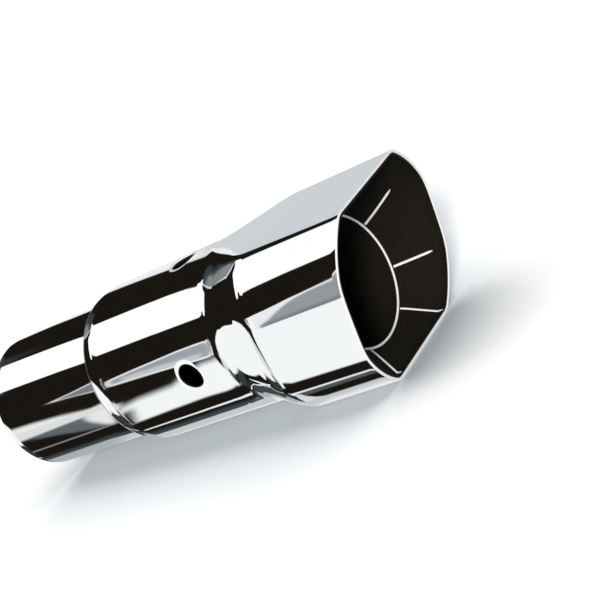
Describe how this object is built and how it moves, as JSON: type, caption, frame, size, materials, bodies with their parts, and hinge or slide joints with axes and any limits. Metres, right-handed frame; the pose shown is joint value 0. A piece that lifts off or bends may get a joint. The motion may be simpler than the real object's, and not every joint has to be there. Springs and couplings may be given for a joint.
{
  "type": "exhaust tip",
  "caption": "Polished exhaust tip with a slip-on inlet tube, a vented round body and a flared slant-cut mouth with a flat top and bottom.",
  "frame": {"origin": "centre of the inlet end, on the axis of the tube", "axes": "+X along the axis from the inlet to the mouth, +Z square to the flats with the longer lip up, +Y across the mouth's width"},
  "size_m": [0.2436, 0.0884, 0.0764],
  "materials": {
    "tube_chrome": "polished, with fine lengthwise marks",
    "shell_chrome": "mirror polished",
    "cone_chrome": "polished, dark inside the mouth"
  },
  "bodies": {
    "root": {"inner_tube": "tube_chrome", "outer_shell": "shell_chrome", "mouth_cone": "cone_chrome"}
  },
  "joints": []
}
